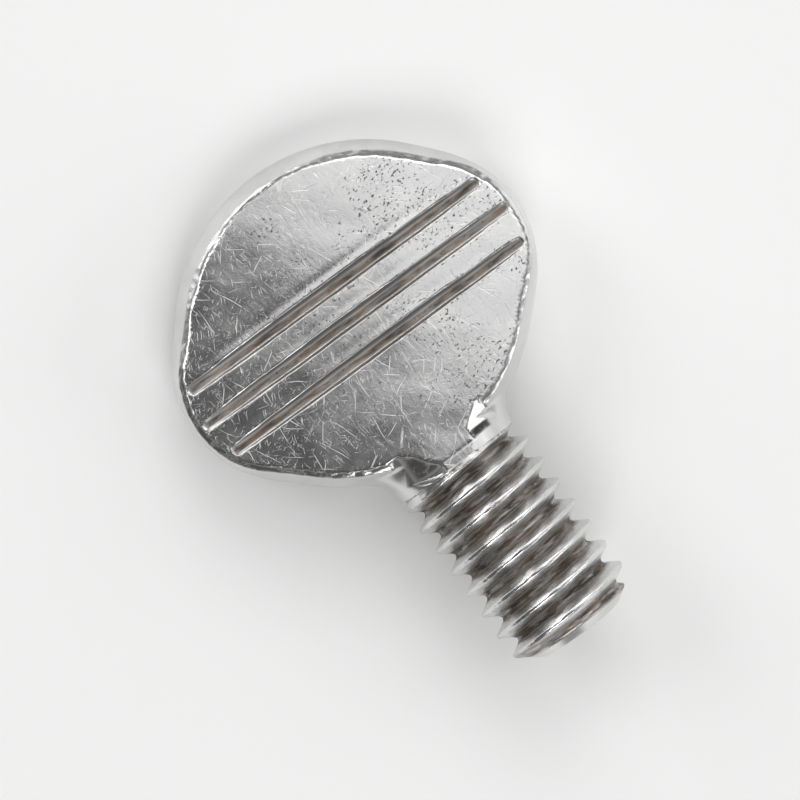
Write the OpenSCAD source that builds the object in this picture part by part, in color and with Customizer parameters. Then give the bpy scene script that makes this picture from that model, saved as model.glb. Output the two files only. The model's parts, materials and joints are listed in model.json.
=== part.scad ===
// Thumb screw with a wedge-shaped spade head, three grip grooves and a screw thread.
// It is one piece of metal. It lies as it comes to rest: on the far edge of its head
// and on the start of its thread. Millimetres, +X towards the tip, +Z up, floor at z = 0.
// The thread's own helix is left to the finish: the shank is plain at its outside diameter.

/* [Head] */
// Width of the head across the screw's axis
head_width = 21.6; // [20:0.1:30]
// Middle of the shoulders to the far end of the head
head_far = 9.4; // [7:0.1:12]
// Middle of the shoulders to where the neck side of the head's outline would close
head_near = 9; // [7:0.1:12]
// Thickness of the head at its far end
far_thickness = 2.7; // [1.6:0.1:4]
// Thickness of the head where it meets the collar
neck_thickness = 6.9; // [4.5:0.1:7.2]
// Radius of the two arcs at the head's far end and neck side, seen from above
rim_radius = 10.5; // [10.2:0.1:16]
// Radius of the two shoulders at the ends of the grooves, seen from above
shoulder_radius = 6; // [4.5:0.1:8]
// How far the shoulders stand out past the rim
shoulder_swell = 0.6; // [0.2:0.05:1.5]
// Radius of the rounding between the side and each face
edge_round = 1.6; // [1.2:0.1:3]
// Side to face edge, on the two arcs
rim_inset = 0.75; // [0.3:0.05:1]
// Side to face edge, on the shoulders
shoulder_inset = 0.6; // [0.3:0.05:1]

/* [Grooves] */
// Number of grooves on a face
groove_count = 3; // [1:1:5]
// Middle of the row of grooves to the far end of the head, along the face
groove_far = 9.4; // [7:0.05:12]
// Distance from one groove to the next
groove_pitch = 2.02; // [1.2:0.01:2.6]
// Width of a groove at the face
groove_width = 0.8; // [0.4:0.05:1.2]
// Depth of a groove
groove_depth = 0.35; // [0.1:0.05:0.5]
// Faces that carry grooves
grooved_faces = 1; // [1:1:2]

/* [Neck] */
// Diameter of the round neck and collar
neck_diameter = 7.4; // [6:0.1:9]
// Radius of the hollow between the head's outline and the neck
neck_fillet = 1.2; // [0.5:0.1:3]
// Length of the collar
collar_length = 0.8; // [0.4:0.1:3]

/* [Shank] */
// Outside diameter of the thread
thread_diameter = 7.8; // [6:0.1:10]
// Length of the threaded shank, tip included
thread_length = 11.1; // [6:0.1:40]
// Diameter of the flat end face
tip_diameter = 4.8; // [3:0.1:5.8]
// Length of the chamfer that leads down to the end face
tip_length = 1; // [0.4:0.1:2]

/* [Hidden] */
$fn = 96;
overlap = 0.01;

half_width = head_width / 2;
far_half = far_thickness / 2;
neck_half = neck_thickness / 2;
neck_radius = neck_diameter / 2;
thread_radius = thread_diameter / 2;
tip_radius = tip_diameter / 2;
shoulder_y = half_width - shoulder_radius;

// Along the axis, counted from the far end of the head.
far_arc_x = rim_radius;
near_arc_x = head_far + head_near - rim_radius;
// The fillet touches both the neck side arc and the neck, so its centre follows from both radii.
fillet_x = near_arc_x + sqrt(pow(rim_radius + neck_fillet, 2) - pow(neck_radius + neck_fillet, 2));
collar_x = fillet_x;
thread_x = collar_x + collar_length;
tip_x = thread_x + thread_length;

// Each face climbs from the far end to the collar, so the head is a wedge.
wedge = atan((neck_half - far_half) / collar_x);

// A groove's wall is one arc, and its middle line lies above the face.
groove_radius = (pow(groove_width / 2, 2) + pow(groove_depth, 2)) / (2 * groove_depth);
groove_lift = groove_radius - groove_depth;

// At rest the far edge of the lower face and the start of the collar or thread touch the floor.
far_edge_x = (rim_inset - far_half * sin(wedge)) * cos(wedge);
far_edge_z = far_half * pow(cos(wedge), 2) + rim_inset * sin(wedge);
tilt = max(rest_angle(collar_x, neck_radius), rest_angle(thread_x, thread_radius));
floor_drop = far_edge_z * cos(tilt) - far_edge_x * sin(tilt);
middle_x = (tip_x * cos(tilt) + tip_radius * sin(tilt)) / 2;

// Angle of the floor that touches the far face edge and a round section of this radius.
function rest_angle(x, radius) = atan((radius - far_edge_z) / (x - far_edge_x));

// Height that the rounding takes up when it comes in from the side by this inset.
function edge_height(inset) = sqrt(2 * edge_round * inset - inset * inset);

// A tall round plate below its face at z = 0, with a rounded upper edge.
module plate(radius, inset) {
    depth = neck_thickness + far_thickness;
    drop = edge_height(inset);
    rotate_extrude() {
        translate([0, -depth])
            square([radius - edge_round, depth]);
        translate([0, -depth])
            square([radius, depth - drop]);
        intersection() {
            translate([radius - edge_round, -drop])
                circle(edge_round);
            translate([radius - edge_round - overlap, -drop - overlap])
                square([edge_round + 2 * overlap, drop + overlap]);
        }
    }
}

// The head's outline under one face: two arcs, and a swollen shoulder at each end of the grooves.
module outline_below_face() {
    block = head_width - 2 * shoulder_swell;
    intersection() {
        translate([far_arc_x, 0, 0])
            plate(rim_radius, rim_inset);
        translate([near_arc_x, 0, 0])
            plate(rim_radius, rim_inset);
        translate([0, -block / 2, -head_width])
            cube([head_far + head_near, block, 2 * head_width]);
    }
    for (side = [-1, 1])
        translate([head_far, side * shoulder_y, 0])
            plate(shoulder_radius, shoulder_inset);
}

// Places children on the upper face, with x along the face from the far end.
// The far wall stands square to the face and meets the other half's at x = 0.
module on_face() {
    rotate([0, -wedge, 0])
        translate([0, 0, far_half * cos(wedge)])
            children();
}

module head() {
    intersection() {
        on_face()
            outline_below_face();
        mirror([0, 0, 1])
            on_face()
                outline_below_face();
    }
}

// The web on each side that sweeps from the head's outline into the neck.
module neck_webs() {
    web_half = neck_half - edge_height(rim_inset);
    for (side = [0, 1])
        mirror([0, side, 0])
            translate([0, 0, -web_half])
                linear_extrude(2 * web_half)
                    difference() {
                        polygon([
                            [near_arc_x, 0],
                            [fillet_x, 0],
                            [fillet_x, neck_radius + neck_fillet]
                        ]);
                        translate([fillet_x, neck_radius + neck_fillet])
                            circle(neck_fillet);
                    }
}

// The round neck, cut off above and below by the two faces, and the full round collar.
module neck() {
    start = head_far + head_near / 2;
    intersection() {
        translate([start, 0, 0])
            rotate([0, 90, 0])
                cylinder(r = neck_radius, h = collar_x - start + overlap);
        translate([0, neck_diameter, 0])
            rotate([90, 0, 0])
                linear_extrude(2 * neck_diameter)
                    polygon([
                        [0, far_half],
                        [collar_x + overlap, neck_half],
                        [collar_x + overlap, -neck_half],
                        [0, -far_half]
                    ]);
    }
    translate([collar_x, 0, 0])
        rotate([0, 90, 0])
            cylinder(r = neck_radius, h = collar_length + overlap);
}

module shank() {
    translate([thread_x, 0, 0])
        rotate([0, 90, 0]) {
            cylinder(r = thread_radius, h = thread_length - tip_length);
            translate([0, 0, thread_length - tip_length])
                cylinder(r1 = thread_radius, r2 = tip_radius, h = tip_length);
        }
}

// A row of grooves across the upper face. They run out where the edge rounds off.
module grooves() {
    first = -(groove_count - 1) / 2;
    for (i = [0:groove_count - 1])
        translate([groove_far + (first + i) * groove_pitch, head_width, groove_lift])
            rotate([90, 0, 0])
                cylinder(r = groove_radius, h = 2 * head_width);
}

module thumb_screw() {
    color("silver")
        translate([-middle_x, 0, floor_drop])
            rotate([0, -tilt, 0])
                difference() {
                    union() {
                        head();
                        neck_webs();
                        neck();
                        shank();
                    }
                    for (face = [0:grooved_faces - 1])
                        mirror([0, 0, face])
                            on_face()
                                grooves();
                }
}

thumb_screw();
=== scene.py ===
# %% [markdown]
# # A thumb screw, from its distance field to its worn plating
#
# A thumb screw like this one starts as a round steel blank. One end is squeezed flat between two
# dies, which gives the spade head and its grip grooves. The other end is rolled between threaded
# plates. Then the whole screw is plated, and years of use scratch the flats and fill every hollow
# with brown grime.
#
# This lesson follows that order: the head, the neck, the thread, one closed skin around them all,
# the metal, and last the light it lies in.

import json
import math

import bpy
import numpy as np
from mathutils import Matrix, Vector


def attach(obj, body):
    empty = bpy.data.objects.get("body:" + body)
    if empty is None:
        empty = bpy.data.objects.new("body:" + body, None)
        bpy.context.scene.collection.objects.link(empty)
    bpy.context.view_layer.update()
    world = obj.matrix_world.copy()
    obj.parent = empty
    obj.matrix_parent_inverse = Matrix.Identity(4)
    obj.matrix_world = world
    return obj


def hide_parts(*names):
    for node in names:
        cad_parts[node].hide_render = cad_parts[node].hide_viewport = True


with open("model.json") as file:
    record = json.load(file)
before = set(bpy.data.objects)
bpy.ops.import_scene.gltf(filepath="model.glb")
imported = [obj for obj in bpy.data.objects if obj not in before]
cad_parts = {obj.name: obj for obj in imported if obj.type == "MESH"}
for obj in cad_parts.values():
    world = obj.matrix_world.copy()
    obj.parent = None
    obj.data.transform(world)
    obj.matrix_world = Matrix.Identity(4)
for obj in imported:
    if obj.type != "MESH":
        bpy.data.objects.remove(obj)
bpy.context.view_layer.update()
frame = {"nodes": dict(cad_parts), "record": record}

# %% [markdown]
# ## The screw's own axes
#
# The screw lies on the floor with its tip a little raised, so its axis isn't level. Every shape is
# easier to describe along the screw than along the floor. The solid model's record says where the
# flat tip is and which way it faces, and that is enough to lay out a second set of axes: x runs
# from the far end of the head to the tip, y across the head, and z out of the upper face. Lengths
# in it are millimetres.

# %% Axes and main sizes
MM = 0.001
mounts = {mount["name"]: mount for mount in frame["record"]["mounts"]}
along = Vector(mounts["tip"]["axis"]).normalized()
across = Vector((0, 1, 0))
upward = along.cross(across)
tip_point = Vector(mounts["tip"]["pos_m"])

solid = frame["nodes"]["thumb_screw"]
reach = [(vertex.co - tip_point).dot(along) for vertex in solid.data.vertices]
length = -min(reach) / MM
to_world = Matrix((along, across, upward)).transposed().to_4x4()
to_world.translation = tip_point - along * length * MM

tip_length = 1.0
thread_radius = mounts["thread"]["dims"]["r_mm"]
thread_start = length - mounts["thread"]["dims"]["length_mm"] - tip_length
print("length along the axis, mm:", round(length, 2), " thread starts at", round(thread_start, 2))

# %% [markdown]
# ## Shapes as distances
#
# A distance field is a function that says how far a point is from a surface: below zero inside,
# above zero outside. Two fields are joined by taking the smaller value and cut by taking the
# larger. Rounding the corner of that choice gives a fillet or a worn edge of any radius, which is
# what a pressed, plated and handled piece has everywhere. Bevel modifiers could do the simple
# edges, but not the places where the head, the neck and the thread run into each other.

# %% Field tools
def join(a, b, radius):
    """The smaller of two distances, with a fillet where they meet."""
    blend = np.clip(0.5 + 0.5 * (b - a) / radius, 0, 1)
    return b + (a - b) * blend - radius * blend * (1 - blend)


def cut(a, b, radius):
    """The larger of two distances, with a rounded edge where they meet."""
    return -join(-a, -b, radius)


def step(value, start, end):
    """0 before start, 1 after end, and a smooth climb between."""
    t = np.clip((value - start) / (end - start), 0, 1)
    return t * t * (3 - 2 * t)


def ripple(x, y, z, size, seed, count=7):
    """A smooth unevenness between about -1 and 1, with bumps roughly size millimetres long."""
    random = np.random.default_rng(seed)
    total = 0
    for _ in range(count):
        direction = random.normal(size=3)
        direction *= random.uniform(0.7, 1.4) * math.tau / size / np.linalg.norm(direction)
        total = total + np.sin(
            x * direction[0] + y * direction[1] + z * direction[2] + random.uniform(0, math.tau)
        )
    return total / math.sqrt(2 * count)


# %% [markdown]
# ## The spade head
#
# The dies squeezed the blank into a wedge: thin at the far end and nearly as thick as the round
# neck where it meets the collar. Seen from above, two large arcs make the far end and the neck
# side, and the metal that the grooves pushed aside swells into two tighter shoulders. The side
# bulges, because the dies only touched the flats, and a narrow bevel runs round each flat where
# they let go. The flats are very slightly crowned, so light rolls across them, and they carry on
# over the neck without a step.

# %% Head
far_half = 1.35
neck_half = 3.45
collar_start = thread_start - 0.8
wedge = math.atan((neck_half - far_half) / collar_start)
head_x = 9.4
head_y = 0.28
rim_radius = 10.5
far_arc_x = 1.1
near_arc_x = -1.5
shoulder_radius = 6.0
shoulder_y = 4.8
bevel_width = 0.32
bevel_drop = 0.2


def above_flat(x, z):
    """Height above the nearer of the two flats, measured square to it."""
    return (np.abs(z) - far_half - x * math.tan(wedge)) * math.cos(wedge)


def head_outline(x, y):
    """Distance outside the head's widest line, seen from above."""
    far_arc = np.hypot(x - far_arc_x, y) - rim_radius
    near_arc = np.hypot(x - near_arc_x, y) - rim_radius
    shoulders = np.hypot(x, np.abs(y) - shoulder_y) - shoulder_radius
    return join(cut(far_arc, near_arc, 0.3), shoulders, 0.6)


def above_pressed(x, y, z):
    """Height above the flats as the dies left them: a little crowned and uneven."""
    crown = 0.0022 * (y - head_y) ** 2
    waves = 0.008 * ripple(x, y, 0, 4.6, 11, 12) + 0.002 * ripple(x, y, 0, 1.6, 12, 12)
    return above_flat(x, z) + crown + waves


def head_sides(x, y, z):
    """The head's bulging side and the bevel above it, with no flats yet."""
    outline = head_outline(x - head_x, y - head_y)
    above = above_flat(x, z) + 0.0022 * (y - head_y) ** 2
    shoulder = step(np.abs(y - head_y), 6.5, 9.5) * (1 - step(np.abs(x - head_x), 2.5, 5.0))
    forward = np.clip((head_x + 4 - x) / 14, 0, 1)
    inset = 0.56 + 0.22 * forward**2 - 0.26 * shoulder
    wall_top = far_half + x * math.tan(wedge) - bevel_drop
    side = (outline + inset * (np.abs(z) / wall_top) ** 1.3) * 0.85
    nicks = 0.05 * ripple(x, y, 0, 2.4, 13) + 0.025 * ripple(x, y, 0, 0.6, 14)
    bevel = (outline + inset + nicks) * bevel_drop + (above + bevel_drop) * bevel_width
    return cut(side, bevel / math.hypot(bevel_drop, bevel_width), 0.05)


# %% [markdown]
# ## The grip grooves
#
# Three ribs on the die pressed three grooves across the upper flat. Each has a rounded bottom and
# runs out in a rounded end just where the flat stops. Beside each groove, on the far end's side,
# the flat sinks a hair where the rib dragged it down.

# %% Grooves
groove_far = 9.67
groove_pitch = 2.02
groove_width = 0.8
groove_depth = 0.35
groove_radius = (groove_width**2 / 4 + groove_depth**2) / (2 * groove_depth)
groove_tips = {-1: 9.75, 0: 10.25, 1: 9.75}


def press_grooves(field, x, y, z):
    """Presses the grooves into the upper flat.

    Also gives each point's distance from the nearest groove's middle line, and how far it lies on
    the tip's side of that line.
    """
    on_flat = x * math.cos(wedge) + z * math.sin(wedge)
    above = above_flat(x, z)
    y = y - head_y
    nearest = np.full(np.broadcast(x, y, z).shape, 9.0)
    tipward = nearest
    for number, tip in groove_tips.items():
        wander = 0.012 * ripple(0 * y, y, 0 * y, 4.0, 21 + number)
        aside = on_flat - groove_far - number * groove_pitch - 0.006 * y - wander
        beyond = np.maximum(np.abs(y) - tip + groove_width / 2, 0)
        uneven = 0.01 * ripple(0 * y, y, 0 * y, 0.9, 25 + number)
        tube = np.sqrt(aside**2 + beyond**2 + (above - groove_radius + groove_depth) ** 2)
        dragged = 0.014 if number == -1 else 0.005
        sag = dragged * np.exp(-(((aside + 0.8) / 0.26) ** 2)) * (1 - step(np.abs(y), tip - 3, tip))
        field = field + np.where(z > 0, sag, 0)
        pressed = cut(field, groove_radius - tube - uneven, 0.05)
        field = np.where(z > 0, pressed, field)
        distance = np.hypot(aside, beyond)
        tipward = np.where(distance < nearest, aside, tipward)
        nearest = np.minimum(nearest, distance)
    return field, nearest, tipward


# %% [markdown]
# ## Neck and collar
#
# Between the head and the shank lies a short neck and a collar: round at the sides, with both flats
# running on across them as a narrow tongue. A faint seam crosses the tongue where the squeezed metal
# meets the collar. The corners of the die bit a facet into each side of the tongue.

# %% Neck
neck_radius = 3.7
neck_start = 14.0
collar_end = thread_start - 0.18


def round_neck(x, y, z):
    around = np.hypot(y, z) - neck_radius
    return np.maximum(around, np.maximum(neck_start - x, x - collar_end))


def press_flats(field, x, y, z):
    """Cuts both flats. A faint seam shows where the squeezed metal meets the collar."""
    seam = np.exp(-(((x - collar_start) / 0.05) ** 2)) * (1 + 0.5 * ripple(0 * y, y, 0 * y, 0.8, 15))
    return cut(field, above_pressed(x, y, z) + 0.022 * seam, 0.05)


def notch_corners(field, x, y, z):
    """Cuts a facet that falls away from the flat into each corner beside the tongue."""
    bites = (
        (1, 17.35, 1.95, (0.52, 0.40), 0.75, 18.3, 1.45, 0.05),
        (-1, 17.75, 1.6, (0.42, 0.45), 0.78, 18.9, 0.8, 0.15),
    )
    for side, edge_x, edge_y, lean, rise, end, tongue, softness in bites:
        fall = lean[0] * (x - edge_x) + lean[1] * (side * y - edge_y)
        facet = fall + rise * above_flat(x, z)
        wall = 0.85 * (x - end) - 0.5 * (np.abs(z) - 2.9)
        notch = np.maximum(np.maximum(-facet, wall), (tongue - side * y) * 0.9)
        notch = np.maximum(notch, np.maximum(side * y - 3.0, 16.9 - x))
        field = cut(field, -notch, softness)
    return field


# %% [markdown]
# ## The rolled thread
#
# A right-hand thread is one ridge that climbs by its pitch on every turn. Taking the turn's angle
# off the distance along the axis unrolls it, and then the 60 degree ridge is the same everywhere.
# Rolling leaves the crest and the root rounded. The ridge rises at the collar, and a steep chamfer
# cuts it off at the tip, before the last root has closed.

# %% Thread
pitch = 1.4111
crest_flat = 0.2
root_radius = 3.06
tip_radius = 2.4
crest_phase = 20.24


def thread_field(x, y, z):
    radius = np.hypot(y, z)
    turn = np.arctan2(z, y) / math.tau
    ridge = (x - crest_phase) / pitch - turn
    aside = np.abs(ridge - np.round(ridge)) * pitch
    worn = 0.02 * ripple(x, y, z, 1.3, 31) + 0.012 * ripple(x, y, z, 0.45, 32)
    crest = thread_radius - 0.22 * (1 - step(x, collar_end, collar_end + 0.9)) + worn * 0.5
    top = radius - crest
    flank = 0.5 * (radius - thread_radius + math.sqrt(3) * (aside - crest_flat / 2)) - worn * 0.4
    ridge_body = cut(top, flank, 0.06)
    core = radius - root_radius
    body = join(ridge_body, core, 0.2)
    drop = thread_radius - tip_radius
    point = (radius - thread_radius) * tip_length + (x - length + tip_length) * drop
    body = cut(body, point / math.hypot(tip_length, drop), 0.16)
    end = x - length + 0.015 * ripple(0, y, z, 2.0, 33)
    body = cut(body, end, 0.2)
    return np.maximum(body, collar_end - 0.05 - x)


# %% [markdown]
# ## One skin
#
# The whole field is sampled on a grid. Every grid cell that the surface passes through gets one
# point, and neighbouring points are joined into quads, which always closes the mesh. The grid is
# finer where detail is finer. Afterwards each point slides onto the true surface, and the field's
# slope there gives an exact shading normal.

# %% Whole field
def screw_field(x, y, z):
    blend = 0.1 + 1.1 * (1 - step(np.abs(z), 1.6, 2.9))
    body = join(head_sides(x, y, z), round_neck(x, y, z), blend)
    body, _, _ = press_grooves(press_flats(body, x, y, z), x, y, z)
    return np.minimum(notch_corners(body, x, y, z), thread_field(x, y, z))


def stations(*stretches):
    """Grid lines along one axis: each stretch is its start, its end and its spacing."""
    lines = []
    for start, end, spacing in stretches:
        count = max(1, round((end - start) / spacing))
        lines.extend(np.linspace(start, end, count, endpoint=False))
    lines.append(stretches[-1][1])
    return np.array(lines)


def skin(field, lines):
    """Points and quads of the surface where the field is zero."""
    value = field(*np.meshgrid(*lines, indexing="ij", sparse=True))
    inside = value < 0
    cells = [len(line) - 1 for line in lines]
    owners, places, quads = [], [], []
    for axis in range(3):
        ahead = np.zeros(3, int)
        ahead[axis] = 1
        low = [slice(None)] * 3
        high = [slice(None)] * 3
        low[axis] = slice(None, -1)
        high[axis] = slice(1, None)
        at = np.argwhere(inside[tuple(low)] != inside[tuple(high)])
        first = value[tuple(at.T)]
        second = value[tuple((at + ahead).T)]
        place = np.stack([lines[k][at[:, k]] for k in range(3)], axis=1)
        gap = lines[axis][at[:, axis] + 1] - lines[axis][at[:, axis]]
        place[:, axis] += gap * first / (first - second)
        ring = []
        for u, v in ((0, 0), (-1, 0), (-1, -1), (0, -1)):
            cell = at.copy()
            cell[:, (axis + 1) % 3] += u
            cell[:, (axis + 2) % 3] += v
            ring.append(np.ravel_multi_index(cell.T, cells))
            owners.append(ring[-1])
            places.append(place)
        ring = np.stack(ring, axis=1)
        outward = first < 0
        quads.append(np.where(outward[:, None], ring, ring[:, ::-1]))
    owners = np.concatenate(owners)
    places = np.concatenate(places)
    used, index = np.unique(owners, return_inverse=True)
    number = np.bincount(index)
    points = np.stack([np.bincount(index, places[:, k]) / number for k in range(3)], axis=1)
    return points, np.searchsorted(used, np.concatenate(quads))


def slope(field, points, reach=0.012):
    """The field's gradient at each point."""
    sides = []
    for axis in range(3):
        offset = np.zeros(3)
        offset[axis] = reach
        ahead = field(*(points + offset).T)
        behind = field(*(points - offset).T)
        sides.append((ahead - behind) / (2 * reach))
    return np.stack(sides, axis=1)


# %% Skin the screw
coarse = 1.0
lines = [
    stations(
        (-0.3, 1.4, 0.11 * coarse),
        (1.4, 6.6, 0.18 * coarse),
        (6.6, 12.0, 0.097 * coarse),
        (12.0, 16.2, 0.16 * coarse),
        (16.2, length + 0.3, 0.103 * coarse),
    ),
    stations((-11.3, 11.3, 0.152 * coarse)),
    stations((-4.3, 0.9, 0.15 * coarse), (0.9, 3.6, 0.1 * coarse), (3.6, 4.3, 0.15 * coarse)),
]
points, quads = skin(screw_field, lines)
for _ in range(4):
    gradient = slope(screw_field, points)
    steep = np.maximum((gradient**2).sum(axis=1), 0.2)
    move = gradient * (screw_field(*points.T) / steep)[:, None]
    points -= np.clip(move, -0.05, 0.05)
normals = slope(screw_field, points)
normals /= np.linalg.norm(normals, axis=1)[:, None]
print("skin:", len(points), "points,", 2 * len(quads), "triangles,",
      "furthest from the field, mm:", round(float(np.abs(screw_field(*points.T)).max()), 4))

# %% Make the mesh
mesh = bpy.data.meshes.new("plated_screw")
mesh.from_pydata((points * MM).tolist(), [], quads.tolist())
mesh.transform(to_world)
mesh.update()
mesh.polygons.foreach_set("use_smooth", np.ones(len(mesh.polygons), bool))
turned = normals @ np.array(to_world.to_3x3()).T
mesh.normals_split_custom_set_from_vertices(turned.tolist())
screw = bpy.data.objects.new("plated_screw", mesh)
bpy.context.scene.collection.objects.link(screw)

corners = np.sort(np.stack([quads, np.roll(quads, -1, axis=1)], axis=-1).reshape(-1, 2), axis=1)
_, shared = np.unique(corners, axis=0, return_counts=True)
print("edges:", len(shared), " edges with two faces:", int((shared == 2).sum()),
      " others:", int((shared != 2).sum()))

# %% [markdown]
# ## Where the finish changes
#
# Grime stays where fingers and nuts don't reach: in the grooves and in the thread's roots. Pits
# gather along the edges of the flats. Painted shade goes on the bevel along the rim, on the far-end
# wall of each groove and in the pockets beside the tongue. The fields already know those places, so
# each point of the mesh stores a few numbers, and the material reads them. The point's own place
# along the screw is stored as well, in millimetres, so every texture can be given its size in
# millimetres.

# %% Store the places
def store(name, values):
    attribute = mesh.attributes.new(name, "FLOAT", "POINT")
    attribute.data.foreach_set("value", np.clip(values, 0, 1).astype(np.float32))


px, py, pz = points.T
radius = np.hypot(py, pz)
flat_height = above_pressed(px, py, pz)
outline = head_outline(px - head_x, py - head_y)
_, groove_distance, tipward = press_grooves(np.full(len(px), -9.0), px, py, pz)
on_thread = step(px, collar_end - 0.05, collar_end + 0.1)
on_head = 1 - step(px, collar_start - 0.6, collar_start)
on_top = step(pz, 0.5, 1.0)
in_groove = on_head * on_top * (1 - step(groove_distance, 0.26, 0.4)) * step(-flat_height, 0.0, 0.1)
beside_groove = on_head * on_top * (1 - step(groove_distance, 0.35, 0.75))
edge_line = on_head * step(outline, -1.9, -0.9)
# Painted shade in the pockets beside the tongue: the upper pocket's wall and the hollow of the lower pocket are
# made near black. A dark dirt patch on the tip's end joins the same mask.
upper_pocket_wall_shade = step(px, 17.98, 18.1) * (1 - step(px, 18.4, 18.5))
upper_pocket_wall_shade = upper_pocket_wall_shade * step(py, 1.45, 1.6) * (1 - step(py, 2.55, 2.75))
lower_pocket_shade = step(px, 16.6, 16.9) * (1 - step(px, 18.5, 18.95)) * step(-py, 0.7, 1.0)
lower_pocket_shade = lower_pocket_shade * (1 - step(-py, 2.1, 2.9))
pocket_shade_and_tip_dirt = np.maximum(upper_pocket_wall_shade, lower_pocket_shade * step(-flat_height, 0.02, 0.07))
end_mark = 0.7 * step(px, length - 0.6, length - 0.4) * (1 - step(np.abs(py + 0.6), 0.3, 1.0))
pocket_shade_and_tip_dirt = np.maximum(pocket_shade_and_tip_dirt, end_mark) * step(pz, 1.4, 1.9)
before_tip = 1 - step(px, length - 0.6, length - 0.4)
last_root = step(px, length - 1.2, length - 1.0)
depth = 1 - step(radius, root_radius + 0.1, root_radius + 0.48)
store("root", on_thread * before_tip * np.maximum(depth, 0.8 * last_root))
store("groove", in_groove * (1 - 0.85 * step(tipward, 0.15, 0.25)))
# Painted shade: the far-end wall of each groove is made near black.
below_flat = on_head * on_top * step(-flat_height, 0.005, 0.04) * (1 - step(groove_distance, 0.42, 0.5))
store("groove_shade", below_flat * (1 - step(tipward, -0.26, -0.14)))
store("pitted", np.maximum(0.45 * edge_line, beside_groove))
store("flat", (1 - on_thread) * step(np.abs(normals[:, 2]), 0.95, 0.985))
# Painted shade along the rim: a dark band on the bevel just inside the upper flat's edge, made wider on the side
# of the head that mirrors the dark room.
turn = np.arctan2(py - head_y, px - head_x)
dark_side = step(-turn, 0.35, 0.6) * (1 - step(-turn, 1.5, 2.1))
band = 0.06 + 0.14 * dark_side
edge_shadow = step(-flat_height, 0.01, 0.04) * (1 - step(-flat_height, band, band + 0.05))
store("rim", on_head * on_top * (1 - in_groove) * edge_shadow * step(outline, -1.4, -1.1))
store("corner", pocket_shade_and_tip_dirt)
place = mesh.attributes.new("place", "FLOAT_VECTOR", "POINT")
place.data.foreach_set("vector", points.astype(np.float32).ravel())
print("points in the grooves:", int((in_groove > 0.5).sum()))

# %% [markdown]
# ## Small tools for materials
#
# A material is a graph of nodes. Building one in code is mostly the same three lines again and
# again: add a node, set its sockets, link it on. These helpers do that, so that what follows reads
# as a list of what is on the metal.

# %% Node helpers
metal = bpy.data.materials.new("worn_bright_plate")
metal.use_nodes = True
tree = metal.node_tree
shader = tree.nodes["Principled BSDF"]


def add(kind, sockets, **settings):
    """Adds a node. Each socket gets a value or the output of another node."""
    node = tree.nodes.new(kind)
    for name, setting in settings.items():
        setattr(node, name, setting)
    for name, value in sockets.items():
        if isinstance(value, bpy.types.NodeSocket):
            tree.links.new(value, node.inputs[name])
        else:
            node.inputs[name].default_value = value
    return node


def stored(name):
    return add("ShaderNodeAttribute", {}, attribute_name=name)


def maths(operation, a, b=0.0):
    return add("ShaderNodeMath", {0: a, 1: b}, operation=operation).outputs[0]


def fade(value, start, end, low=0.0, high=1.0):
    """Goes smoothly from low at start to high at end."""
    sockets = {"Value": value, "From Min": start, "From Max": end, "To Min": low, "To Max": high}
    return add("ShaderNodeMapRange", sockets, interpolation_type="SMOOTHSTEP").outputs[0]


def mix(amount, a, b):
    node = add("ShaderNodeMix", {"Factor": amount}, data_type="RGBA")
    for socket, value in ((node.inputs[6], a), (node.inputs[7], b)):
        if isinstance(value, bpy.types.NodeSocket):
            tree.links.new(value, socket)
        else:
            socket.default_value = (*value, 1)
    return node.outputs[2]


def moved(where, shift=(0, 0, 0), turn=0.0, size=(1, 1, 1)):
    """Texture space moved by shift, turned about z, and stretched to cells of this size in mm."""
    sockets = {
        "Vector": where,
        "Location": shift,
        "Rotation": (0, 0, math.radians(turn)),
        "Scale": size,
    }
    return add("ShaderNodeMapping", sockets, vector_type="TEXTURE").outputs[0]


def noise(where, size, detail=2.0, rough=0.5):
    sockets = {"Vector": where, "Scale": 1 / size, "Detail": detail, "Roughness": rough}
    return add("ShaderNodeTexNoise", sockets).outputs[0]


# %% [markdown]
# ## Scratches and pits
#
# A scratch is a short thin line, and pits are small uneven holes. Both come from Voronoi cells,
# which scatter one point in each cell. Stretching the cells before the pattern is made turns the
# round spot about each point into a thin streak, and keeping only some of the cells leaves them
# sparse. Scratches run in several directions, so there is one sheet of streaks for each.

# %% Scatter patterns
screw_place = stored("place").outputs["Vector"]
bent = add(
    "ShaderNodeVectorMath",
    {0: add("ShaderNodeTexNoise", {"Vector": screw_place, "Scale": 0.35}).outputs["Color"],
     1: (0.5, 0.5, 0.5), 2: screw_place},
    operation="MULTIPLY_ADD",
).outputs[0]


def scattered(where, share, solid, edge):
    """Spots about the points of a share of the Voronoi cells: 1 inside solid, 0 outside edge."""
    cells = add("ShaderNodeTexVoronoi", {"Vector": where, "Scale": 1.0}, voronoi_dimensions="2D")
    chance = add("ShaderNodeSeparateColor", {"Color": cells.outputs["Color"]}).outputs[0]
    kept = maths("LESS_THAN", chance, share)
    return maths("MULTIPLY", fade(cells.outputs["Distance"], edge, solid), kept)


def total(parts):
    result = parts[0]
    for part in parts[1:]:
        result = maths("MAXIMUM", result, part)
    return result


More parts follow.
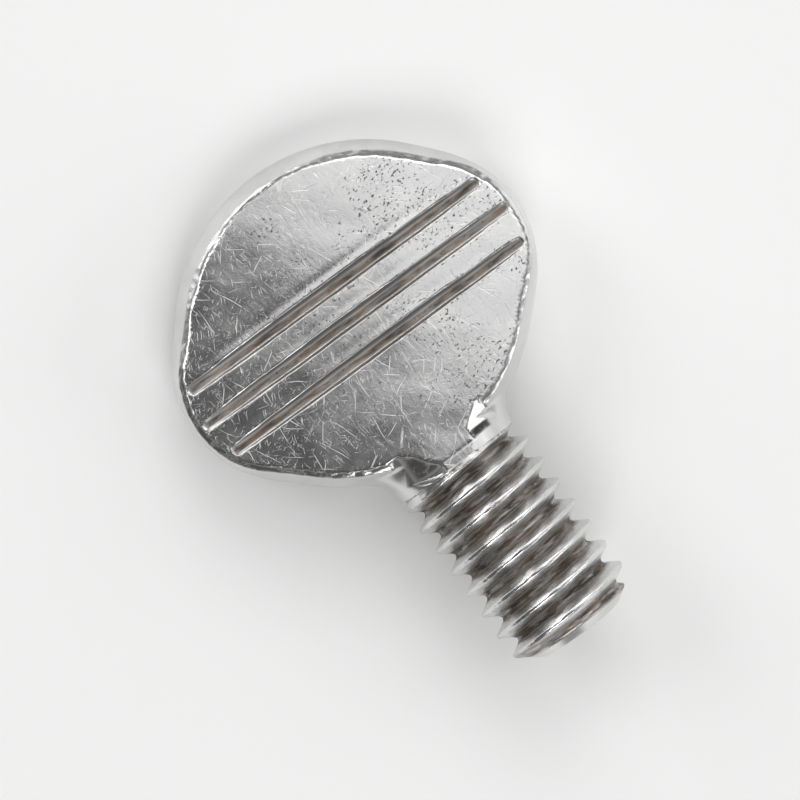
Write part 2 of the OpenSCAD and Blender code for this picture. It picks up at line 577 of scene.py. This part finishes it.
long_scratches = total([
    scattered(moved(bent, (3.1 * i, 1.7 * i, 0), turn, (run, width, 1)), share, 0.12, 0.42)
    for i, (turn, run, width, share) in enumerate([
        (24, 2.9, 0.050, 0.012),
        (52, 1.7, 0.045, 0.010),
        (-6, 2.4, 0.045, 0.012),
        (-38, 1.9, 0.050, 0.012),
        (-64, 2.2, 0.045, 0.008),
        (78, 1.2, 0.045, 0.008),
    ])
])
fine_scratches = total([
    scattered(moved(bent, (2.3 * i, 4.1 * i, 0), turn, (run, 0.035, 1)), 0.04, 0.1, 0.42)
    for i, (turn, run) in enumerate([(12, 1.0), (66, 0.6), (-25, 0.8), (-58, 0.5)])
])
patches = noise(moved(screw_place, (5, 2, 0)), 3.2, 3.0)
rough_place = add(
    "ShaderNodeVectorMath",
    {0: add("ShaderNodeTexNoise", {"Vector": screw_place, "Scale": 9.0}).outputs["Color"],
     1: (0.12, 0.12, 0.12), 2: screw_place},
    operation="MULTIPLY_ADD",
).outputs[0]
pit_zone = maths("MAXIMUM", fade(patches, 0.42, 0.62), maths("MULTIPLY", stored("pitted").outputs["Fac"], 0.9))
specks = noise(moved(rough_place, (0.7, 0.2, 0), 15, (0.8, 1.25, 1)), 0.17, 3.0, 0.62)
pits = fade(maths("ADD", specks, fade(pit_zone, 0.1, 0.6, -0.09, 0.045)), 0.64, 0.69)
on_flats = stored("flat").outputs["Fac"]
pits = maths("MULTIPLY", pits, on_flats)

# %% [markdown]
# ## Grime and painted shade
#
# The brown film is a mix of oil and dust. It lies thickest at the bottom of the grooves and the
# thread's roots, wears off in pale streaks, and gets into the pits. Beside it, painted shade darkens
# the bevel along the rim, the far-end wall of each groove and the pockets beside the tongue.

# %% Grime and painted shade
root = stored("root").outputs["Fac"]
groove = stored("groove").outputs["Fac"]
corner = stored("corner").outputs["Fac"]
smear = noise(moved(screw_place, (1, 6, 3), 0, (0.35, 2.2, 2.2)), 0.8, 4.0, 0.6)
root_smear = noise(moved(screw_place, (8, 1, 2), 0, (0.3, 1.8, 1.8)), 0.7, 4.0, 0.6)
groove_grime = maths("MULTIPLY", groove, fade(smear, 0.36, 0.64, 1.0, 0.75))
root_grime = maths("MULTIPLY", root, fade(root_smear, 0.42, 0.66, 1.0, 0.5))
grime = maths("MAXIMUM", groove_grime, root_grime)
# Painted shade: the dark band along the rim, the far-end wall of each groove and the pockets beside the tongue
# make one mask with a dirt patch at the tip; noise breaks the rim band.
rim_breaks = noise(moved(screw_place, (3, 3, 3)), 0.5, 3.0, 0.6)
painted_shade_and_dirt = maths("MULTIPLY", stored("rim").outputs["Fac"], fade(rim_breaks, 0.36, 0.52, 0.25, 0.95))
painted_shade_and_dirt = total([painted_shade_and_dirt, maths("MULTIPLY", stored("groove_shade").outputs["Fac"], 0.9),
                  maths("MULTIPLY", corner, fade(rim_breaks, 0.3, 0.5, 0.75, 0.97))])
tint = noise(moved(screw_place, (2, 9, 4), 0, (0.6, 1.6, 1.6)), 0.9, 3.0)
grime_colour = mix(fade(tint, 0.38, 0.64), (0.05, 0.036, 0.025), (0.17, 0.126, 0.087))

# %% [markdown]
# ## The plated metal
#
# Bright plate is a mirror with a slight softness. Old plate has lost some of it: the softness
# varies in clouds, every scratch scatters light, and the sides, which were never polished, are
# satin. Because a scratch has walls of its own, it flashes bright where the plate reflects
# something dark, and looks dark where the plate reflects a light.

# %% Metal
cloud = noise(moved(screw_place, (7, 3, 1)), 2.4, 4.0, 0.6)
plate = mix(fade(cloud, 0.3, 0.7), (0.66, 0.66, 0.66), (0.78, 0.78, 0.775))
# Pits turn the plate near black, and so does the painted shade along the rim, on the grooves' far walls and in
# the pockets beside the tongue.
plate = mix(maths("MAXIMUM", maths("MULTIPLY", pits, 0.92), painted_shade_and_dirt), plate, (0.045, 0.04, 0.036))
colour = mix(maths("MULTIPLY", grime, maths("SUBTRACT", 1.0, painted_shade_and_dirt)), plate, grime_colour)
tree.links.new(colour, shader.inputs["Base Color"])

polish = fade(cloud, 0.25, 0.75, 0.12, 0.20)
softness = add("ShaderNodeMix", {"Factor": on_flats, 2: 0.26, 3: polish}).outputs[0]
scratched = maths("MULTIPLY", maths("MAXIMUM", long_scratches, maths("MULTIPLY", fine_scratches, 0.7)), on_flats)
softness = maths("MAXIMUM", softness, maths("MULTIPLY", scratched, 0.36))
# Grime, pits and painted shade make the metal rougher and less metallic.
dirt_and_painted_shade = maths("MAXIMUM", grime, maths("MAXIMUM", pits, painted_shade_and_dirt))
softness = maths("MAXIMUM", softness, maths("MULTIPLY", dirt_and_painted_shade, 0.56))
tree.links.new(softness, shader.inputs["Roughness"])
tree.links.new(fade(dirt_and_painted_shade, 0.2, 0.9, 1.0, 0.2), shader.inputs["Metallic"])

hammered = noise(moved(screw_place, (0, 0, 0), 0, (1.4, 0.8, 1)), 0.34, 2.0)
grain = noise(screw_place, 0.09, 2.0)
relief = maths("MULTIPLY", scratched, -0.0028)
relief = maths("ADD", relief, maths("MULTIPLY", pits, -0.02))
relief = maths("ADD", relief, maths("MULTIPLY", hammered, 0.0026))
relief = maths("ADD", relief, maths("MULTIPLY", grain, fade(on_flats, 0.0, 1.0, 0.006, 0.0012)))
relief = maths("ADD", relief, maths("MULTIPLY", maths("MULTIPLY", grime, grain), 0.02))
bump = add("ShaderNodeBump", {"Height": relief, "Distance": MM, "Strength": 1.0})
tree.links.new(bump.outputs[0], shader.inputs["Normal"])
mesh.materials.append(metal)
print("nodes in the metal:", len(tree.nodes))

# %% [markdown]
# ## Floor and light
#
# A bright metal is only as good as what it mirrors. The room is dark, so that the plate has
# something dark to show. One long softbox hangs above one side of the screw, with its edge in line
# with the screw's axis, so the flat is bright on that side and dark on the other. Three low boxes
# draw the bright line along the bevel: one beside the screw, one beyond the head and one towards
# the tip. Three small high ones soften the shadows on the floor. They stand where no flat mirrors
# them, so they don't wash out the dark side.

# %% Floor
floor_mesh = bpy.data.meshes.new("floor")
half = 3.0
floor_mesh.from_pydata(
    [(-half, -half, 0), (half, -half, 0), (half, half, 0), (-half, half, 0)], [], [(0, 1, 2, 3)]
)
floor = bpy.data.objects.new("floor", floor_mesh)
bpy.context.scene.collection.objects.link(floor)
paper = bpy.data.materials.new("pale_paper")
paper.use_nodes = True
paper_shader = paper.node_tree.nodes["Principled BSDF"]
paper_shader.inputs["Base Color"].default_value = (0.92, 0.92, 0.915, 1)
paper_shader.inputs["Roughness"].default_value = 0.9
floor_mesh.materials.append(paper)

# %% Softboxes
world = bpy.data.worlds.new("studio")
bpy.context.scene.world = world
bpy.context.scene.view_settings.view_transform = "Standard"
world.use_nodes = True
world.node_tree.nodes["Background"].inputs["Color"].default_value = (1, 1, 1, 1)
world.node_tree.nodes["Background"].inputs["Strength"].default_value = 0.10
middle = to_world @ Vector((length / 2 * MM, 0, 0))


def softbox(name, place, size, brightness):
    """A rectangular lamp that faces the screw, as bright as a white card lit to this level."""
    data = bpy.data.lights.new(name, "AREA")
    data.shape = "RECTANGLE"
    data.size, data.size_y = size
    data.energy = brightness * math.pi * size[0] * size[1]
    light = bpy.data.objects.new(name, data)
    light.location = middle + Vector(place)
    light.rotation_euler = (middle - light.location).to_track_quat("-Z", "Y").to_euler()
    bpy.context.scene.collection.objects.link(light)


softbox("overhead", (-0.18, 0.34, 0.52), (0.9, 0.62), 0.92)
softbox("low_side", (0.0, 0.75, 0.22), (0.9, 0.4), 0.9)
softbox("behind_head", (-0.58, -0.10, 0.15), (0.5, 0.2), 2.2)
softbox("low_near", (0.54, 0.42, 0.30), (0.4, 0.28), 2.6)
softbox("key", (-0.38, 0.26, 0.38), (0.34, 0.34), 2.0)
softbox("left", (-0.46, -0.26, 0.42), (0.34, 0.3), 2.8)
softbox("front", (0.42, -0.18, 0.47), (0.4, 0.32), 4.4)

# %% [markdown]
# ## Camera
#
# The camera looks square onto the screw's own axis, not straight down at the floor, so the thread's
# crests are seen as straight lines. A long lens keeps the sides of the head nearly parallel.

# %% Camera
view_turn = math.radians(53.42)
aim = to_world @ Vector((14.50 * MM, -0.49 * MM, 0))
camera_distance = 0.26
frame_width = 0.0434
right = math.cos(view_turn) * along + math.sin(view_turn) * across
frame_up = -math.sin(view_turn) * along + math.cos(view_turn) * across
camera_data = bpy.data.cameras.new("camera")
camera_data.sensor_width = 36
camera_data.lens = camera_data.sensor_width * camera_distance / frame_width
camera_data.clip_start = 0.01
camera = bpy.data.objects.new("camera", camera_data)
camera.matrix_world = Matrix.Translation(aim + upward * camera_distance) @ Matrix(
    (right, frame_up, upward)
).transposed().to_4x4()
bpy.context.scene.collection.objects.link(camera)
bpy.context.scene.camera = camera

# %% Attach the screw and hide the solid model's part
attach(screw, "root")
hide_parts("thumb_screw")
